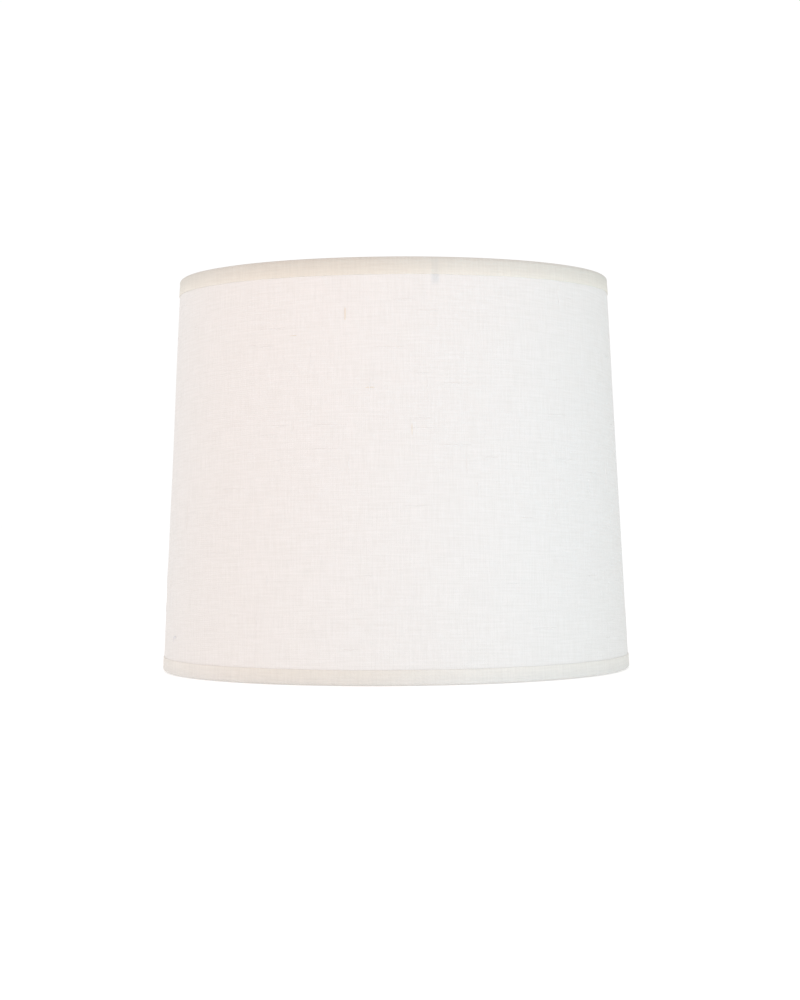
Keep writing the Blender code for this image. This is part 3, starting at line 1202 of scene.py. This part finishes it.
def brass_plate():
    """Brass whose colour and gloss are a little cloudy, with a fine grain from the drawing."""
    made, tree = new_material("brass_plated_drawn_steel")
    place = add_node(tree, "ShaderNodeTexCoord")
    cloudy = add_node(
        tree,
        "ShaderNodeTexNoise",
        {"Vector": (place, "Object"), "Scale": TARNISH_CLOUDS, "Detail": 3.0},
    )
    grain = add_node(
        tree, "ShaderNodeTexNoise", {"Vector": (place, "Object"), "Scale": DRAWN_GRAIN, "Detail": 1.0}
    )
    tint = add_node(
        tree,
        "ShaderNodeValToRGB",
        {"Fac": (cloudy, "Fac")},
        stops=[(0.3, "#CFA85A"), (0.7, "#DDBC74")],
    )
    rough = add_node(
        tree, "ShaderNodeMapRange", {"Value": (cloudy, "Fac"), "To Min": 0.2, "To Max": 0.38}
    )
    bump = add_node(
        tree, "ShaderNodeBump", {"Height": (grain, "Fac"), "Strength": 0.3, "Distance": 0.02 * MM}
    )
    shader = add_node(
        tree,
        "ShaderNodeBsdfPrincipled",
        {
            "Base Color": (tint, "Color"),
            "Metallic": 1.0,
            "Roughness": (rough, "Result"),
            "Normal": (bump, "Normal"),
        },
    )
    add_node(tree, "ShaderNodeOutputMaterial", {"Surface": (shader, 0)})
    return made


brass = brass_plate()
print(f"{brass.name}: ready for rings, arms, washer and welds")

# %% [markdown]
# A ring is a torus in the place of its CAD node. The frame's own box gives its height and its size.


# %% Rings
def ring(name, node):
    """A round wire ring in the place of its CAD node."""
    low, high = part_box(node)
    middle = (low.z + high.z) / 2
    bpy.ops.mesh.primitive_torus_add(
        location=(0, 0, middle),
        major_radius=cone(middle) + WIRE_OUT,
        minor_radius=WIRE,
        major_segments=240,
        minor_segments=16,
    )
    made = smooth(named(name))
    dress(made, brass)
    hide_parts(node)
    report(made, f"{2 * (cone(middle) + WIRE_OUT) / MM:.1f} mm across its middle")
    return middle


TOP_RING_Z = ring("top_wire", "top_ring")
ring("bottom_wire", "bottom_ring")

# %% [markdown]
# An arm starts as a disc of wire at the washer. It is extruded outwards to the bend, spun through a
# quarter turn and extruded up to the ring, as the wire was bent. One arm is made towards the front,
# and three copies of its mesh are turned to their places.

# %% Spider arms
washer_low, washer_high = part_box("spider_washer")
ARM_Z = washer_low.z - GAP - ARM_RADIUS
ARM_BEND = 5.0 * MM
ARM_START = 8.5 * MM  # from the axis
ARM_FOOT = cone(TOP_RING_Z) + WIRE_OUT - WIRE - GAP - ARM_RADIUS
ARM_TOP = TOP_RING_Z + 0.5 * MM

bpy.ops.mesh.primitive_circle_add(
    vertices=20,
    radius=ARM_RADIUS,
    fill_type="NGON",
    location=(0, -ARM_START, ARM_Z),
    rotation=(math.pi / 2, 0, 0),
)
arm = named("arm")
bpy.ops.object.mode_set(mode="EDIT")
bpy.ops.mesh.select_all(action="SELECT")
bpy.ops.mesh.extrude_region_move(
    TRANSFORM_OT_translate={"value": (0, ARM_START + ARM_BEND - ARM_FOOT, 0)}
)
bpy.ops.mesh.spin(
    steps=12, angle=math.pi / 2, center=(0, ARM_BEND - ARM_FOOT, ARM_Z + ARM_BEND), axis=(1, 0, 0)
)
bpy.ops.mesh.extrude_region_move(
    TRANSFORM_OT_translate={"value": (0, 0, ARM_TOP - ARM_Z - ARM_BEND)}
)
close_edit(arm)
finish_with(arm, "BEVEL", width=0.35 * MM, segments=2, limit_method="ANGLE", angle_limit=1.2)
smooth(arm)
reach = max(-v.co.y for v in arm.data.vertices)
report(arm, f"reaches {reach / MM:.1f} mm out and {(ARM_TOP - ARM_Z) / MM:.1f} mm up")

for number, azimuth in enumerate(ARMS, start=1):
    turned = bpy.data.objects.new(f"arm_wire_{number}", arm.data.copy())
    bpy.context.scene.collection.objects.link(turned)
    turned.data.transform(Matrix.Rotation(math.radians(azimuth), 4, "Z"))
    dress(turned, brass)
    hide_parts(f"spider_arm_{number}")
bpy.data.objects.remove(arm)

# %% [markdown]
# The washer is stamped from sheet. A disc gets its hole by insetting both faces and bridging them,
# and a small bevel stands for the rounded edge that the die leaves.

# %% Washer
WASHER_RADIUS = (washer_high.x - washer_low.x) / 2
HOLE_RADIUS = 5.55 * MM  # passes the stud of a harp
bpy.ops.mesh.primitive_cylinder_add(
    vertices=96,
    radius=WASHER_RADIUS,
    depth=washer_high.z - washer_low.z,
    location=(0, 0, (washer_high.z + washer_low.z) / 2),
)
washer = named("washer_disc")
edit_faces(washer, lambda centre, normal: abs(normal.z) > 0.9)
bpy.ops.mesh.inset(thickness=WASHER_RADIUS - HOLE_RADIUS)
bpy.ops.mesh.bridge_edge_loops()
close_edit(washer)
finish_with(washer, "BEVEL", width=0.22 * MM, segments=3, limit_method="ANGLE", angle_limit=0.7)
smooth(washer, 60)
dress(washer, brass)
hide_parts("spider_washer")
report(washer, f"hole {2 * HOLE_RADIUS / MM:.1f} mm")

# %% [markdown]
# Each arm is welded at both ends: to the ring's inner side, and under the washer. A weld is a small
# lump that has run along the wire and frozen, so a ball is flattened, drawn out and roughened.


# %% Weld beads
BEAD_ASIDE = 1.3 * MM  # from the arm's middle, where the wire meets what it is welded to
BEAD_INSIDE_RIM = 2.8 * MM
RING_BEAD = (1.8 * MM, 2.2 * MM, 2.4 * MM)  # radial, sideways, up
WASHER_BEAD = (4.5 * MM, 1.8 * MM, 1.5 * MM)


def bead(azimuth, radius, z, size, seed):
    """A lump of weld, of a size along (radial, sideways, up)."""
    bpy.ops.mesh.primitive_ico_sphere_add(subdivisions=3, radius=0.5)
    lump = named(f"bead_{seed}")
    bpy.ops.object.mode_set(mode="EDIT")
    bpy.ops.mesh.select_all(action="SELECT")
    bpy.ops.transform.vertex_random(offset=0.03, seed=seed)
    bpy.ops.mesh.vertices_smooth(factor=0.6, repeat=1)
    bpy.ops.object.mode_set(mode="OBJECT")
    scale = Matrix.Diagonal((size[1], size[0], size[2], 1))
    turn = Matrix.Rotation(math.radians(azimuth), 4, "Z")
    lump.data.transform(Matrix.Translation(at(radius, azimuth, z)) @ turn @ scale)
    return lump


at_ring = (cone(TOP_RING_Z) + WIRE_OUT - WIRE - GAP / 2, TOP_RING_Z, RING_BEAD)
at_washer = (WASHER_RADIUS - BEAD_INSIDE_RIM, washer_low.z - GAP / 2, WASHER_BEAD)
beads = []
for azimuth in ARMS:
    for radius, z, size in (at_ring, at_washer):
        for side in (-1, 1):
            aside = math.degrees(BEAD_ASIDE / radius)
            beads.append(bead(azimuth + side * aside, radius, z, size, seed=len(beads)))
welds = smooth(joined(beads, "weld_beads"))
dress(welds, brass)
report(welds, f"{len(beads)} beads")

# %% [markdown]
# ## Studio
#
# The shade stands on a white floor in a white surround, as in a catalogue. The surround gives less
# light than the camera sees in it, so the linen stays a little darker than the white behind it. Three
# soft lamps give the shade its form: a big one high on the left, a small warm one over the top edge
# and a small cool one low on the right. The Standard view keeps whites white.

# %% Floor and surround
FLOOR_SIZE = 30.0
SURROUND_LIGHT = 0.81
SURROUND_SEEN = 1.02
visual_low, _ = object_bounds()
bpy.ops.mesh.primitive_plane_add(size=FLOOR_SIZE, location=(0, 0, visual_low.z))
floor = named("studio_floor")
floor_finish, tree = new_material("white_studio_floor")
floor_top = add_node(  # matt white that glows a little, so it is as white as the surround
    tree,
    "ShaderNodeBsdfPrincipled",
    {
        "Base Color": colour("#F4F4F4"),
        "Roughness": 1.0,
        "Specular IOR Level": 0.0,
        "Emission Color": (1, 1, 1, 1),
        "Emission Strength": 0.30,
    },
)
floor_side = add_node(tree, "ShaderNodeNewGeometry")
floor_below = add_node(tree, "ShaderNodeBsdfTransparent")  # the camera may look up through it
floor_shader = add_node(
    tree,
    "ShaderNodeMixShader",
    {0: (floor_side, "Backfacing"), 1: (floor_top, 0), 2: (floor_below, 0)},
)
add_node(tree, "ShaderNodeOutputMaterial", {"Surface": (floor_shader, 0)})
floor.data.materials.append(floor_finish)

world = bpy.data.worlds.new("white_surround")
world.use_nodes = True
tree = world.node_tree
tree.nodes.clear()
rays = add_node(tree, "ShaderNodeLightPath")
strength = add_node(
    tree,
    "ShaderNodeMapRange",
    {"Value": (rays, "Is Camera Ray"), "To Min": SURROUND_LIGHT, "To Max": SURROUND_SEEN},
)
surround = add_node(
    tree, "ShaderNodeBackground", {"Color": (1, 1, 1, 1), "Strength": (strength, 0)}
)
add_node(tree, "ShaderNodeOutputWorld", {"Surface": (surround, 0)})
bpy.context.scene.world = world
print(f"floor at {visual_low.z / MM:.1f} mm, surround lights at {SURROUND_LIGHT}")


# %% Lamps
WALL_RADIUS = 0.14  # of the wall that the lamps are aimed at


def soft_lamp(name, place, aim_height, size, power, hex_code):
    """A square soft box at an (azimuth, distance, height), aimed at the shade's wall at a height."""
    azimuth, distance, height = place
    stand = at(distance, azimuth, height)
    bpy.ops.object.light_add(type="AREA", location=stand)
    lamp = bpy.context.object
    lamp.name = name
    lamp.data.size = size
    lamp.data.energy = power
    lamp.data.color = colour(hex_code)[:3]
    lamp.visible_camera = False
    lamp.rotation_mode = "QUATERNION"
    aim = at(WALL_RADIUS, azimuth, aim_height)
    lamp.rotation_quaternion = (stand - aim).to_track_quat("Z", "Y")
    print(f"{name}: {power} W")


soft_lamp("side_light", (-80, 2.0, 0.972), 0.127, 1.0, 5.6, "#FFEDF0")
soft_lamp("warm_top_light", (0, 0.75, 0.50), 0.18, 0.25, 0.70, "#FFA276")
soft_lamp("cool_low_light", (30, 0.75, 0.08), 0.06, 0.25, 0.9, "#A0E3FF")

# %% [markdown]
# The camera stands level with the shade's lower half, so the top edge curves up and the bottom edge
# curves down. Its lens is a short telephoto.

# %% Camera
CAMERA_DISTANCE = 1.393
CAMERA_HEIGHT = 0.1017
PITCH = math.radians(0.340)
YAW = math.radians(-0.134)
ROLL = math.radians(-0.41)
bpy.ops.object.camera_add(location=(0, -CAMERA_DISTANCE, CAMERA_HEIGHT))
camera = bpy.context.object
camera.data.lens = 76.03
camera.data.sensor_width = 36
camera.matrix_world = (
    Matrix.Translation(camera.location)
    @ Matrix.Rotation(YAW, 4, "Z")
    @ Matrix.Rotation(math.pi / 2 + PITCH, 4, "X")
    @ Matrix.Rotation(ROLL, 4, "Z")
)
bpy.context.scene.camera = camera
bpy.context.scene.view_settings.view_transform = "Standard"
print(f"camera: {CAMERA_DISTANCE:.2f} m away, lens {camera.data.lens:.0f} mm")
